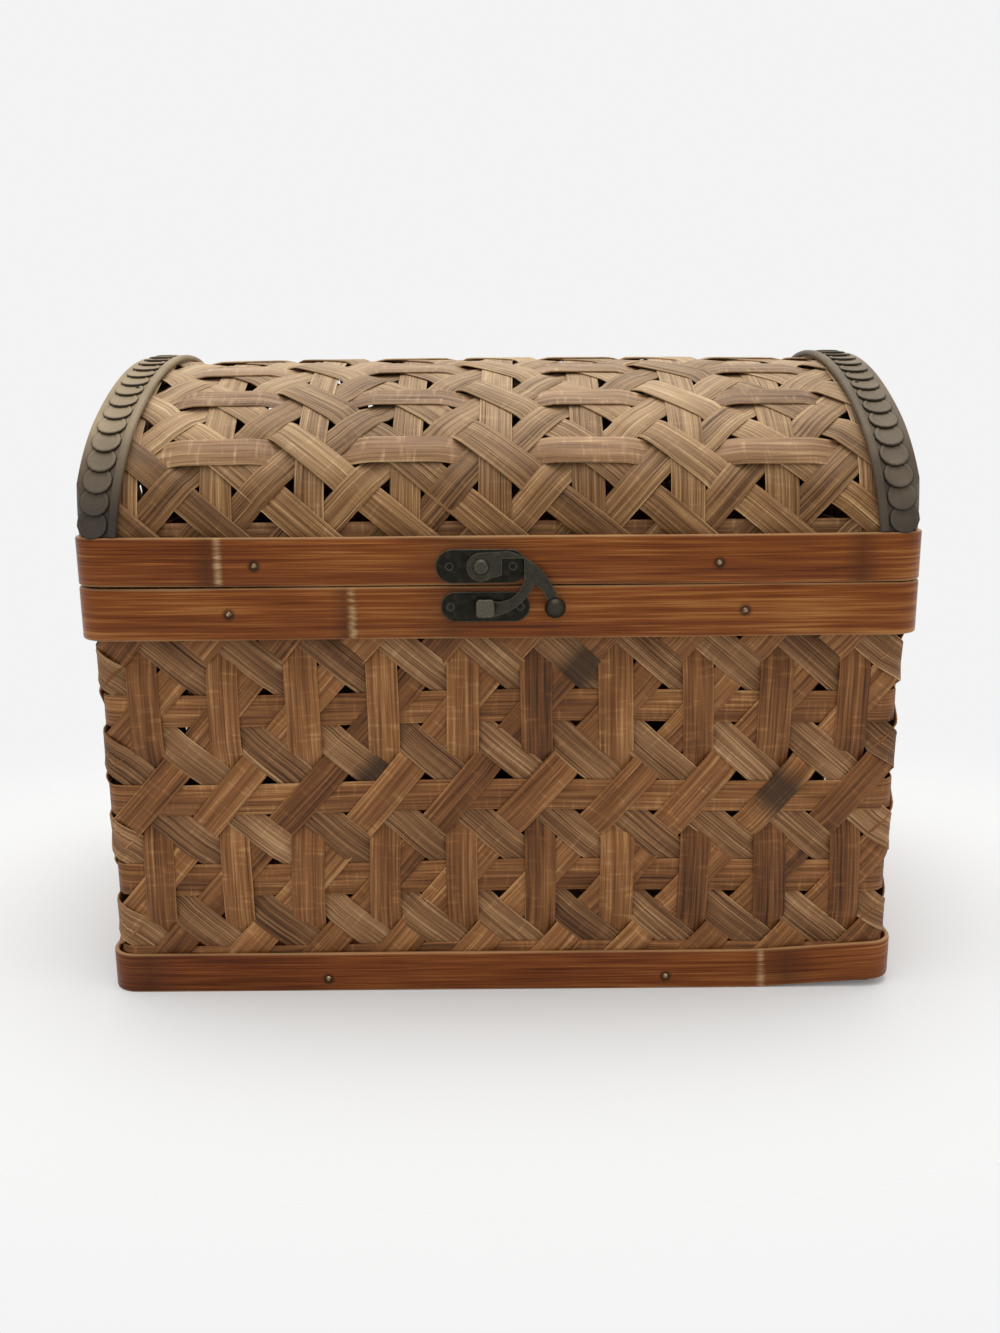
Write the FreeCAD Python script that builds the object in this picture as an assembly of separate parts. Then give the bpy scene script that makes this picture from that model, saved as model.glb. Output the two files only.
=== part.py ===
import FreeCAD, Part
import math
import os

# A small rattan trunk: a woven box with bamboo bands, a woven barrel lid, two hinges and a swing-hook latch.
# X runs along the length, the front faces -Y, Z is up and the floor is z = 0.

# Woven body
wall_width = 259.0
wall_depth = 158.0
wall_corner = 7.0
weave_thickness = 2.6
body_height = 137.0
wall_end_gap = 0.4

# Strips that lie uppermost in the weave
strip_width = 9.4
strip_pitch = 25.7
row_pitch = 29.0
strip_relief = 0.9
straight_length = 33.0
slant_length = 23.0
middle_row_lift = 1.0
lid_strip_pitch = 25.0
lid_strip_shift = 9.5

# Bamboo bands
base_band_height = 13.5
base_band_thickness = 1.5
rim_band_height = 16.5
rim_band_thickness = 2.6
lid_band_height = 15.1
inner_band_height = 11.0
inner_band_thickness = 2.0
band_joint_gap = 0.4
base_band_fit = 0.2
rim_band_fit = 0.4
inner_fit = 0.2
base_panel_thickness = 7.0

# Barrel lid
lid_gap = 0.4
dome_rise = 54.0
shoulder_radius = 42.0
lid_end_lean = 6.5
bow_width = 8.0
bow_thickness = 3.0
trim_width = 11.5
trim_return = 7.0
trim_thickness = 1.5
trim_fit = 0.2
trim_foot_gap = 0.3

# Band nails
nail_head_radius = 0.9
nail_head_height = 0.5
nail_head_taper = 0.6
nail_shank_radius = 0.5
nail_fit = 0.05
nail_tip_cover = 0.6
lid_nail_front = (-75.4, 68.0)
rim_nail_front = (-84.0, 76.5)
base_nail_front = (-58.0, 54.7)
nail_back = (-30.0, 30.0)
nail_side = (-42.0, 42.0)
base_nail_z = 4.4
base_nail_depth = 6.0
trim_pin_angles = (28.0, 64.0, 81.0, 99.0, 116.0, 152.0)

# Latch
latch_x = -5.4
latch_pivot_drop = 9.2
plate_thickness = 1.0
plate_length = 28.0
plate_height = 10.5
plate_nail_reach = 9.8
plate_nail_radius = 1.1
plate_nail_length = 3.0
keeper_shift = 1.2
keeper_length = 27.5
keeper_height = 9.4
keeper_drop = 12.6
keeper_nail_reach = 10.8
hook_gap = 0.2
hook_thickness = 1.6
hook_boss_radius = 4.4
hook_knob_radius = 3.3
hook_knob_x = 22.7
hook_knob_z = -12.6
pivot_radius = 1.2
pivot_head_radius = 2.7
pivot_head_height = 1.2
running_fit = 0.05
stud_neck_radius = 1.5
stud_head_size = 5.8
stud_head_height = 2.2
stud_head_round = 1.3
stud_gap = 0.3

# Hinges
hinge_x = 78.0
hinge_width = 26.0
leaf_height = 10.0
leaf_thickness = 0.9
barrel_radius = 2.0
barrel_clearance = 0.3
hinge_pin_radius = 0.9
knuckle_gap = 0.2
hinge_nail_spread = 8.0

# Levels and half sizes that the sizes above give
half_width = wall_width / 2
half_depth = wall_depth / 2
lid_bottom = body_height + lid_gap
lid_band_top = lid_bottom + lid_band_height
rim_band_bottom = body_height - rim_band_height
rim_face = half_depth + rim_band_fit + rim_band_thickness
rim_side = half_width + rim_band_fit + rim_band_thickness
pivot_z = lid_band_top - latch_pivot_drop
pivot_point = FreeCAD.Vector(latch_x, -rim_face, pivot_z)
hinge_y = rim_face + barrel_radius + barrel_clearance
hinge_z = body_height + lid_gap / 2
crown_sum = half_depth ** 2 + dome_rise ** 2 - 2 * half_depth * shoulder_radius
crown_radius = crown_sum / 2 / (dome_rise - shoulder_radius)
crown_drop = crown_radius - dome_rise
arch_turn = math.atan2(crown_drop, half_depth - shoulder_radius)
reach = 400.0

os.makedirs("parts", exist_ok=True)


def vec(x, y, z):
    return FreeCAD.Vector(x, y, z)


def save(shape, node):
    shape.exportStep("parts/" + node + ".step")


def rounded_prism(grow, bottom, top):
    # the plan of the woven wall, offset outwards by grow
    hx = half_width + grow
    hy = half_depth + grow
    r = max(wall_corner + grow, 0.5)
    c = r * (1 - math.sqrt(0.5))
    points = []
    for sx, sy in ((1, -1), (1, 1), (-1, 1), (-1, -1)):
        along_x = vec(sx * (hx - r), sy * hy, bottom)
        along_y = vec(sx * hx, sy * (hy - r), bottom)
        middle = vec(sx * (hx - c), sy * (hy - c), bottom)
        points.append((along_x, middle, along_y) if sx * sy < 0 else (along_y, middle, along_x))
    edges = []
    for i, (start, middle, end) in enumerate(points):
        edges.append(Part.Arc(start, middle, end).toShape())
        edges.append(Part.LineSegment(end, points[(i + 1) % 4][0]).toShape())
    face = Part.Face(Part.Wire(edges))
    return face.extrude(vec(0, 0, top - bottom))


def band(inner, outer, bottom, top):
    # a bent strip whose ends meet with a small gap at the middle of the back
    ring = rounded_prism(outer, bottom, top).cut(rounded_prism(inner, bottom - 1, top + 1))
    joint = Part.makeBox(band_joint_gap, half_depth, top - bottom + 2, vec(-band_joint_gap / 2, 1, bottom - 1))
    return ring.cut(joint)


def arch_point(angle, grow):
    # the point of the lid's three-centred arch whose normal is turned by angle from +Y, offset outwards by grow
    if arch_turn <= angle <= math.pi - arch_turn:
        centre = vec(0, 0, lid_band_top - crown_drop)
        radius = crown_radius + grow
    else:
        centre = vec(0, math.copysign(half_depth - shoulder_radius, math.cos(angle)), lid_band_top)
        radius = shoulder_radius + grow
    return centre + vec(0, math.cos(angle), math.sin(angle)) * radius


def arch_angle(run):
    # the angle of the arch's normal at a distance from the ridge, positive towards the back
    crown_turn = math.pi / 2 - arch_turn
    turn = abs(run) / crown_radius
    if turn > crown_turn:
        turn = crown_turn + (abs(run) - crown_turn * crown_radius) / shoulder_radius
    return math.pi / 2 - math.copysign(turn, run)


def vault(grow, bottom):
    # the barrel section of the lid, offset by grow, drawn out along the whole length
    end = vec(-reach, 0, 0)
    turns = (0, arch_turn, math.pi - arch_turn, math.pi)
    edges = []
    for first, last in zip(turns, turns[1:]):
        points = [end + arch_point(angle, grow) for angle in (first, (first + last) / 2, last)]
        edges.append(Part.Arc(*points).toShape())
    a = half_depth + grow
    foot = [vec(-reach, y, z) for y, z in ((-a, lid_band_top), (-a, bottom), (a, bottom), (a, lid_band_top))]
    edges += [Part.LineSegment(foot[i], foot[i + 1]).toShape() for i in range(3)]
    return Part.Face(Part.Wire(edges)).extrude(vec(2 * reach, 0, 0))


def end_limits(grow, bottom):
    # everything between the two leaning lid ends, offset outwards by grow
    x = half_width + grow
    top = lid_band_top + 2 * dome_rise
    lean = 2 * lid_end_lean
    right = [(x, bottom), (x, lid_band_top), (x - lean, top)]
    left = [(-px, pz) for px, pz in reversed(right)]
    points = [vec(px, -reach, pz) for px, pz in right + left]
    face = Part.Face(Part.makePolygon(points + points[:1]))
    return face.extrude(vec(0, 2 * reach, 0))


def lid_block(grow, bottom):
    top = lid_band_top + 2 * dome_rise
    return vault(grow, bottom).common(end_limits(grow, bottom)).common(rounded_prism(grow, bottom, top))


def half_space(side):
    # the left (-1) or right (1) half of the trunk
    return Part.makeBox(reach, 2 * reach, 2 * reach, vec(-reach if side < 0 else 0, -reach, -reach / 2))


def raised_strip(x, z, length, lean):
    # the uppermost stretch of one strip, on a wall that faces -Y at y = 0, leaning by some degrees from upright
    half_reach = 2 * strip_relief
    strip = Part.makeBox(strip_width, 2 * half_reach, length, vec(-strip_width / 2, -half_reach, -length / 2))
    strip.rotate(vec(0, 0, 0), vec(0, 1, 0), lean)
    strip.translate(vec(x, 0, z))
    return strip


def wall_strips(run, face, turn):
    # the uppermost strips of one side of the body: run is its flat length, face its distance from the middle
    middle = (base_band_height + rim_band_bottom) / 2 + middle_row_lift
    slant = math.degrees(math.atan2(strip_pitch, row_pitch))
    count = int((run - strip_width) / 2 / strip_pitch + 0.5)
    strips = []
    for i in range(-count, count):
        x = (i + 0.5) * strip_pitch
        strips.append(raised_strip(x, middle, slant_length, slant))
        for row in (-1, 1):
            strips.append(raised_strip(x, middle + row * row_pitch, straight_length, 0))
    for strip in strips:
        strip.translate(vec(0, -face, 0))
        strip.rotate(vec(0, 0, 0), vec(0, 0, 1), turn)
    return strips


def dome_strips():
    # the uppermost strips of the barrel: lengthwise ones and slanted ones in turn along it
    slant = -math.degrees(math.atan2(row_pitch, lid_strip_pitch))
    columns = int((half_width - lid_end_lean - trim_width) / row_pitch)
    half_run = (math.pi / 2 - arch_turn) * crown_radius + arch_turn * shoulder_radius
    rows = int((half_run + lid_strip_shift) / lid_strip_pitch + 0.5)
    strips = []
    for i in range(-rows, rows):
        run = lid_strip_shift - (i + 0.5) * lid_strip_pitch
        if abs(run) > half_run:
            continue
        angle = arch_angle(run)
        for j in range(-columns, columns + 1):
            length, lean = (straight_length, 90) if j % 2 else (slant_length, slant)
            strip = raised_strip(j * row_pitch, 0, length, lean)
            strip.rotate(vec(0, 0, 0), vec(1, 0, 0), math.degrees(angle) - 180)
            strip.translate(arch_point(angle, 0))
            strips.append(strip)
    return strips


def nail(head, inward, length):
    # a nail whose low conical head bears on a face at the point head, with its shank running inwards
    shank = Part.makeCylinder(nail_shank_radius, length, head, inward)
    top = head - inward * nail_head_height
    cap = Part.makeCone(nail_head_radius * nail_head_taper, nail_head_radius, nail_head_height, top, inward)
    return cap.fuse(shank).removeSplitter()


def sunk_nail(head, inward):
    # a flat-headed nail that lies flush in a plate
    shank = Part.makeCylinder(nail_shank_radius, plate_nail_length, head, inward)
    cap = Part.makeCylinder(plate_nail_radius, nail_head_height, head, inward)
    return cap.fuse(shank).removeSplitter()


def nail_hole(head, inward, length, head_radius=0.0):
    hole = Part.makeCylinder(nail_shank_radius + nail_fit, length + nail_fit + 1, head - inward, inward)
    if head_radius:
        seat = Part.makeCylinder(head_radius + nail_fit, nail_head_height + nail_fit, head, inward)
        hole = hole.fuse(seat)
    return hole


def band_nail_places(front, z, face, side):
    # heads and directions of the nails around one band
    places = [(vec(x, -face, z), vec(0, 1, 0)) for x in front]
    places += [(vec(x, face, z), vec(0, -1, 0)) for x in nail_back]
    places += [(vec(-side, y, z), vec(1, 0, 0)) for y in nail_side]
    places += [(vec(side, y, z), vec(-1, 0, 0)) for y in nail_side]
    return places


def nails_and_holes(places, length):
    nails = Part.Compound([nail(head, inward, length) for head, inward in places])
    holes = Part.Compound([nail_hole(head, inward, length) for head, inward in places])
    return nails, holes


def stadium(centre_x, centre_z, length, height, back, front):
    # a round-ended plate standing in the XZ plane from y = back out to y = front
    r = height / 2
    corner = vec(centre_x - length / 2 + r, front, centre_z - r)
    mid = Part.makeBox(length - height, back - front, height, corner)
    for sx in (-1, 1):
        end = vec(centre_x + sx * (length / 2 - r), front, centre_z)
        mid = mid.fuse(Part.makeCylinder(r, back - front, end, vec(0, 1, 0)))
    return mid.removeSplitter()


# Woven wall, base panel and the body's bands
rim_wrap = rim_band_fit + rim_band_thickness
base_wrap = base_band_fit + base_band_thickness
inside = -weave_thickness - inner_fit
woven_wall = rounded_prism(0, wall_end_gap, body_height - wall_end_gap)
woven_wall = woven_wall.cut(rounded_prism(-weave_thickness, -1, body_height + 1))
wall_valleys = rounded_prism(1, base_band_height, rim_band_bottom)
wall_valleys = wall_valleys.cut(rounded_prism(-strip_relief, 0, body_height))
for turn in (0, 90, 180, 270):
    run, face = (wall_depth, half_width) if turn % 180 else (wall_width, half_depth)
    wall_valleys = wall_valleys.cut(wall_strips(run - 2 * wall_corner, face, turn))
woven_wall = woven_wall.cut(wall_valleys)
base_panel = rounded_prism(inside, 0, base_panel_thickness)
inner_band_top = base_panel_thickness + inner_band_height
base_outer_band = band(base_band_fit, base_wrap, 0, base_band_height)
base_inner_band = band(inside - inner_band_thickness, inside, base_panel_thickness, inner_band_top)
rim_outer_band = band(rim_band_fit, rim_wrap, rim_band_bottom, body_height)
rim_inner_band = band(inside - inner_band_thickness, inside, body_height - rim_band_height, body_height)

# Nails of the body's bands
base_places = band_nail_places(base_nail_front, base_nail_z, half_depth + base_wrap, half_width + base_wrap)
base_nail_length = base_wrap + weave_thickness + inner_fit + base_nail_depth
base_nails, base_holes = nails_and_holes(base_places, base_nail_length)
rim_nail_z = body_height - rim_band_height / 2
rim_places = band_nail_places(rim_nail_front, rim_nail_z, rim_face, rim_side)
band_nail_length = rim_wrap + weave_thickness + inner_fit + inner_band_thickness - nail_tip_cover
rim_nails, rim_holes = nails_and_holes(rim_places, band_nail_length)

# Lid shell, split into the barrel and its two ends
lid_foot = lid_bottom + wall_end_gap
lid_shell = lid_block(0, lid_foot).cut(lid_block(-weave_thickness, lid_foot - 1))
end_core = end_limits(-weave_thickness, 0)
above_band = Part.makeBox(2 * reach, 2 * reach, reach, vec(-reach, -reach, lid_band_top))
dome_valleys = vault(1, lid_bottom).cut(vault(-strip_relief, 0)).common(above_band)
dome_valleys = dome_valleys.common(end_limits(-trim_width, 0)).cut(dome_strips())
lid_dome = lid_shell.common(end_core).cut(dome_valleys)
lid_ends = lid_shell.cut(end_core)

# Lid bands and the bows that carry the barrel at each end
lid_outer_band = band(rim_band_fit, rim_wrap, lid_bottom, lid_band_top)
lid_inner_top = lid_bottom + inner_band_height
lid_inner_band = band(inside - inner_band_thickness, inside, lid_bottom, lid_inner_top)
bows = lid_block(inside, lid_inner_top).cut(vault(inside - bow_thickness, 0))
bows = bows.cut(end_limits(inside - bow_width, 0))

# Edge trims over the barrel's ends
trim_foot = lid_band_top + trim_foot_gap
trims = lid_block(trim_fit + trim_thickness, lid_bottom).cut(lid_block(trim_fit, 0))
trims = trims.cut(vault(-trim_return, 0)).cut(end_limits(-trim_width, 0))
trims = trims.cut(Part.makeBox(2 * reach, 2 * reach, trim_foot, vec(-reach, -reach, 0)))

# Nails of the lid band and pins of the trims
lid_nail_z = lid_bottom + inner_band_height / 2 + nail_head_radius
lid_places = band_nail_places(lid_nail_front, lid_nail_z, rim_face, rim_side)
lid_nails, lid_holes = nails_and_holes(lid_places, band_nail_length)
pin_places = []
for degrees in trim_pin_angles:
    angle = math.radians(degrees)
    head = arch_point(angle, trim_fit + trim_thickness)
    inward = vec(0, -math.cos(angle), -math.sin(angle))
    lean = lid_end_lean * (head.z - lid_band_top) / dome_rise
    pin_x = half_width - lean - weave_thickness - inner_fit - bow_width / 2
    pin_places += [(head + vec(side * pin_x, 0, 0), inward) for side in (-1, 1)]
pin_length = trim_thickness + trim_fit + weave_thickness + inner_fit + bow_thickness / 2
trim_pins, pin_holes = nails_and_holes(pin_places, pin_length)

# Latch plate, keeper plate and their sunk nails
plate_face = rim_face + plate_thickness
keeper_x = latch_x + keeper_shift
keeper_z = pivot_z - keeper_drop
latch_plate = stadium(latch_x, pivot_z, plate_length, plate_height, -rim_face, -plate_face)
keeper_plate = stadium(keeper_x, keeper_z, keeper_length, keeper_height, -rim_face, -plate_face)
inward = vec(0, 1, 0)
latch_heads = [vec(latch_x + s * plate_nail_reach, -plate_face, pivot_z) for s in (-1, 1)]
keeper_heads = [vec(keeper_x + s * keeper_nail_reach, -plate_face, keeper_z) for s in (-1, 1)]


def plate_nails(heads, direction):
    nails = [sunk_nail(head, direction) for head in heads]
    holes = [nail_hole(head, direction, plate_nail_length, plate_nail_radius) for head in heads]
    return Part.Compound(nails), Part.Compound(holes)


latch_nails, latch_holes = plate_nails(latch_heads, inward)
keeper_nails, keeper_holes = plate_nails(keeper_heads, inward)

# Keeper stud: a neck with a rounded square head, riveted through the keeper plate
hook_back = plate_face + hook_gap
hook_front = hook_back + hook_thickness
stud_seat = vec(keeper_x, -rim_face, keeper_z)
outward = vec(0, -1, 0)
neck_length = hook_front + stud_gap - rim_face
stud_neck = Part.makeCylinder(stud_neck_radius, neck_length, stud_seat, outward)
head_front = hook_front + stud_gap + stud_head_height
head_corner = vec(keeper_x - stud_head_size / 2, -head_front, keeper_z - stud_head_size / 2)
stud_head = Part.makeBox(stud_head_size, stud_head_height, stud_head_size, head_corner)
standing = [e for e in stud_head.Edges if abs(e.tangentAt(e.FirstParameter).y) > 0.9]
stud_head = stud_head.makeFillet(stud_head_round, standing)
rim_edges = [e for e in stud_head.Edges if abs(e.BoundBox.YMax - head_corner.y) < 0.001]
stud_head = stud_head.makeFillet(stud_head_round / 2, rim_edges)
keeper_stud = stud_head.fuse(stud_neck).removeSplitter()
stud_hole = Part.makeCylinder(stud_neck_radius + nail_fit, plate_thickness + 1, stud_seat, outward)

# Hook: a boss on the pivot, an arched tail with a knob, and an arm whose notch takes the stud's neck
notch_left = 6.4
notch_right = 13.2
notch_top = 2.6
arm_end = keeper_x - latch_x + 0.1
lip_bottom = -keeper_drop - stud_neck_radius - 1.5
lip_top = -keeper_drop + stud_neck_radius + 1.0


def hook_point(x, z):
    return vec(latch_x + x, -hook_back, pivot_z + z)


def hook_line(start, end):
    return Part.LineSegment(hook_point(*start), hook_point(*end)).toShape()


def hook_arc(start, middle, end):
    return Part.Arc(hook_point(*start), hook_point(*middle), hook_point(*end)).toShape()


tail_outer = (hook_knob_x + 0.6, hook_knob_z + 3.4)
tail_inner = (hook_knob_x - 2.4, hook_knob_z + 1.2)
shoulder = (8.4, 4.8)
apex = (16.2, -5.4)
arm_low = (arm_end, lip_bottom)
arm_high = (arm_end, lip_top)
arm_waist = (5.2, lip_top - 0.7)
hook_edges = [
    hook_line((0, hook_boss_radius), shoulder),
    hook_arc(shoulder, (16.6, 0.7), tail_outer),
    hook_line(tail_outer, tail_inner),
    hook_arc(tail_inner, (18.9, -7.6), apex),
    hook_arc(apex, (11.6, -11.7), arm_low),
    hook_line(arm_low, arm_high),
    hook_line(arm_high, arm_waist),
    hook_arc(arm_waist, (9.6, -9.4), (notch_right, -4.0)),
    hook_line((notch_right, -4.0), (notch_right, notch_top)),
    hook_line((notch_right, notch_top), (notch_left, notch_top)),
    hook_line((notch_left, notch_top), (notch_left, -2.4)),
    hook_line((notch_left, -2.4), (0, -hook_boss_radius)),
    hook_line((0, -hook_boss_radius), (0, hook_boss_radius)),
]
hook = Part.Face(Part.Wire(hook_edges)).extrude(vec(0, -hook_thickness, 0))
hook = hook.fuse(Part.makeCylinder(hook_boss_radius, hook_thickness, hook_point(0, 0), outward))
knob_centre = hook_point(hook_knob_x, hook_knob_z) + outward * (hook_knob_radius * 0.6)
knob_back = Part.makeBox(reach, reach, reach, vec(-reach / 2, -hook_back, -reach / 2))
hook_knob = Part.makeSphere(hook_knob_radius, knob_centre).cut(knob_back)
hook = hook.fuse(hook_knob).removeSplitter()
hook = hook.cut(Part.makeCylinder(pivot_radius + running_fit, reach, pivot_point, outward))
hook = hook.cut(Part.makeCylinder(stud_neck_radius + stud_gap, reach, stud_seat, outward))

# Pivot rivet through the plate and the hook
pivot_shank = Part.makeCylinder(pivot_radius, hook_front + hook_gap - rim_face, pivot_point, outward)
head_seat = pivot_point + outward * (hook_front + hook_gap - rim_face)
pivot_head = Part.makeCone(pivot_head_radius, pivot_head_radius * 0.7, pivot_head_height, head_seat, outward)
latch_pivot = pivot_head.fuse(pivot_shank).removeSplitter()
pivot_hole = Part.makeCylinder(pivot_radius + nail_fit, plate_thickness + 1, pivot_point, outward)

# Hinges: the body's leaf has the two outer knuckles, the lid's leaf the middle one
knuckle = hinge_width / 3


def hinge_leaf(centre_x, up, spans):
    # up is 1 for the lid's leaf and -1 for the body's
    near = barrel_radius + barrel_clearance
    low = hinge_z + near if up > 0 else hinge_z - near - leaf_height
    corner = vec(centre_x - hinge_width / 2, rim_face, low)
    leaf = Part.makeBox(hinge_width, leaf_thickness, leaf_height, corner)
    for start, end in spans:
        at = vec(centre_x + start, hinge_y, hinge_z)
        neck_low = hinge_z if up > 0 else hinge_z - near - 1
        neck = Part.makeBox(end - start, leaf_thickness, near + 1, vec(centre_x + start, rim_face, neck_low))
        clear_low = hinge_z if up > 0 else hinge_z - near
        clear = Part.makeBox(end - start, barrel_clearance, near, vec(centre_x + start, rim_face, clear_low))
        leaf = leaf.fuse(neck.cut(clear)).fuse(Part.makeCylinder(barrel_radius, end - start, at, vec(1, 0, 0)))
    bore_start = vec(centre_x - hinge_width / 2 - 1, hinge_y, hinge_z)
    bore = Part.makeCylinder(hinge_pin_radius + running_fit, hinge_width + 2, bore_start, vec(1, 0, 0))
    return leaf.removeSplitter().cut(bore)


outer_spans = ((-hinge_width / 2, -knuckle / 2 - knuckle_gap), (knuckle / 2 + knuckle_gap, hinge_width / 2))
middle_span = ((-knuckle / 2, knuckle / 2),)
leaf_nail_offset = barrel_radius + barrel_clearance + leaf_height / 2
hinge_direction = vec(0, -1, 0)
body_heads = []
lid_heads = []
for side in (-1, 1):
    for spread in (-hinge_nail_spread, hinge_nail_spread):
        x = side * hinge_x + spread
        body_heads.append(vec(x, rim_face + leaf_thickness, hinge_z - leaf_nail_offset))
        lid_heads.append(vec(x, rim_face + leaf_thickness, hinge_z + leaf_nail_offset))
hinge_body_nails, hinge_body_holes = plate_nails(body_heads, hinge_direction)
hinge_lid_nails, hinge_lid_holes = plate_nails(lid_heads, hinge_direction)

# One file for each piece
save(woven_wall.cut(base_holes).cut(rim_holes), "body_woven_wall")
save(base_panel.cut(base_holes), "base_panel")
save(base_outer_band.cut(base_holes), "base_outer_band")
save(base_inner_band, "base_inner_band")
save(rim_outer_band.cut(rim_holes).cut(keeper_holes).cut(hinge_body_holes), "rim_outer_band")
save(rim_inner_band.cut(rim_holes), "rim_inner_band")
save(base_nails, "base_band_nails")
save(rim_nails, "rim_band_nails")
save(keeper_plate.cut(keeper_holes).cut(stud_hole), "keeper_plate")
save(keeper_stud, "keeper_stud")
save(keeper_nails, "keeper_nails")
save(hinge_body_nails, "hinge_body_nails")
save(lid_dome.cut(lid_holes).cut(pin_holes), "lid_woven_dome")
save(lid_outer_band.cut(lid_holes).cut(latch_holes).cut(hinge_lid_holes), "lid_outer_band")
save(lid_inner_band.cut(lid_holes), "lid_inner_band")
save(lid_nails, "lid_band_nails")
save(trim_pins, "lid_trim_pins")
save(latch_plate.cut(latch_holes).cut(pivot_hole), "latch_plate")
save(latch_nails, "latch_plate_nails")
save(latch_pivot, "latch_pivot_rivet")
save(hook, "latch_hook")
save(hinge_lid_nails, "hinge_lid_nails")
for side, name in ((-1, "left"), (1, "right")):
    half = half_space(side)
    centre = side * hinge_x
    save(lid_ends.common(half).cut(lid_holes), "lid_woven_end_" + name)
    save(bows.common(half).cut(pin_holes), "lid_arch_bow_" + name)
    save(trims.common(half).cut(pin_holes), "lid_edge_trim_" + name)
    save(hinge_leaf(centre, -1, outer_spans).cut(hinge_body_holes), "hinge_" + name + "_body_leaf")
    save(hinge_leaf(centre, 1, middle_span).cut(hinge_lid_holes), "hinge_" + name + "_lid_leaf")
    pin_start = vec(centre - hinge_width / 2, hinge_y, hinge_z)
    save(Part.makeCylinder(hinge_pin_radius, hinge_width, pin_start, vec(1, 0, 0)), "hinge_" + name + "_pin")
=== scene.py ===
import math
import random

import bmesh
import bpy
from mathutils import Matrix, Vector


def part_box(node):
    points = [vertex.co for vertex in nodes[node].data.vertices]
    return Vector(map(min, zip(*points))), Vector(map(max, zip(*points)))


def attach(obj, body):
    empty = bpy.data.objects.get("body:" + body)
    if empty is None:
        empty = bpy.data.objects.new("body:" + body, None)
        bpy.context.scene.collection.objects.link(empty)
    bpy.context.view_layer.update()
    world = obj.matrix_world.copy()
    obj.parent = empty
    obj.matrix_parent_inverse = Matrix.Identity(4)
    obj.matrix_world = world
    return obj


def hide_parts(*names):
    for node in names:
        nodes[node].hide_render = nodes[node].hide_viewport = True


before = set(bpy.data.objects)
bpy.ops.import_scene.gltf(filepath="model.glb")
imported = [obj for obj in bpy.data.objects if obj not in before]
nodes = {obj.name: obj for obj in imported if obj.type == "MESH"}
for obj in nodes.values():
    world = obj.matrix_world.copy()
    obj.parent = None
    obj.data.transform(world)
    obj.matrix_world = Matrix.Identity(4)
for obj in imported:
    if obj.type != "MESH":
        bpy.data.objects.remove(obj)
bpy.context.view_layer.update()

mm = 0.001


# object helpers
def addObject(name, data):
    made = bpy.data.objects.new(name, data)
    bpy.context.scene.collection.objects.link(made)
    return made


def pieceName(node):
    first, *others = node.split("_")
    return first + "".join(word.capitalize() for word in others)


def setMaterial(mesh, material):
    mesh.materials.clear()
    mesh.materials.append(material)


# camera
cameraSet = {
    "place": (0.16 * mm, -448.75 * mm, 196.24 * mm),
    "pitch": 13.01,       # degrees down
    "roll": -0.45,
    "focal": 1.2,         # in image widths
    "sensor": 36.0,
    "near": 10 * mm,
}


def makeCamera(s):
    data = bpy.data.cameras.new("camera")
    data.sensor_fit = "HORIZONTAL"
    data.sensor_width = s["sensor"]
    data.lens = s["focal"] * s["sensor"]
    data.clip_start = s["near"]
    camera = addObject("camera", data)
    tilt = Matrix.Rotation(math.radians(90 - s["pitch"]), 4, "X")
    turn = Matrix.Rotation(math.radians(s["roll"]), 4, "Z")
    camera.matrix_world = Matrix.Translation(s["place"]) @ tilt @ turn
    bpy.context.scene.camera = camera


makeCamera(cameraSet)
print("camera set")


# node helpers
floatSocket = "NodeSocketFloat"
geometrySocket = "NodeSocketGeometry"


def addNode(tree, kind, values=None, **props):
    made = tree.nodes.new(kind)
    for name, value in props.items():
        setattr(made, name, value)
    for key, value in (values or {}).items():
        if isinstance(value, bpy.types.NodeSocket):
            tree.links.new(value, made.inputs[key])
        else:
            made.inputs[key].default_value = value
    return made


def calc(tree, operation, a, b=0.0, c=0.0, clamp=False):
    made = addNode(tree, "ShaderNodeMath", {0: a, 1: b, 2: c}, operation=operation, use_clamp=clamp)
    return made.outputs[0]


def weigh(tree, value, weight, rest, clamp=False):
    return calc(tree, "MULTIPLY_ADD", value, weight, rest, clamp)


def mixColour(tree, factor, a, b):
    return addNode(tree, "ShaderNodeMix", {0: factor, 6: a, 7: b}, data_type="RGBA").outputs[2]


def mapRange(tree, value, given, wanted, **props):
    ends = {1: given[0], 2: given[1], 3: wanted[0], 4: wanted[1]}
    return addNode(tree, "ShaderNodeMapRange", {0: value, **ends}, **props).outputs[0]


def ramp(tree, value, stops):
    made = addNode(tree, "ShaderNodeValToRGB", {0: value})
    elements = made.color_ramp.elements
    while len(elements) < len(stops):
        elements.new(0.5)
    for element, (place, colour) in zip(elements, stops):
        element.position = place
        element.color = (*colour, 1)
    return made.outputs[0]


def attribute(tree, name):
    return addNode(tree, "ShaderNodeAttribute", attribute_name=name).outputs["Fac"]


def coordinates(tree, kind="Object"):
    return addNode(tree, "ShaderNodeTexCoord").outputs[kind]


def splitVector(tree, vector):
    return addNode(tree, "ShaderNodeSeparateXYZ", {0: vector}).outputs


def newTree(name, kind, inputs, outputs):
    tree = bpy.data.node_groups.new(name, kind)
    for title, socket, value in inputs:
        made = tree.interface.new_socket(title, in_out="INPUT", socket_type=socket)
        if value is not None:
            made.default_value = value
    for title, socket in outputs:
        tree.interface.new_socket(title, in_out="OUTPUT", socket_type=socket)
    return tree, tree.nodes.new("NodeGroupInput"), tree.nodes.new("NodeGroupOutput")


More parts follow.
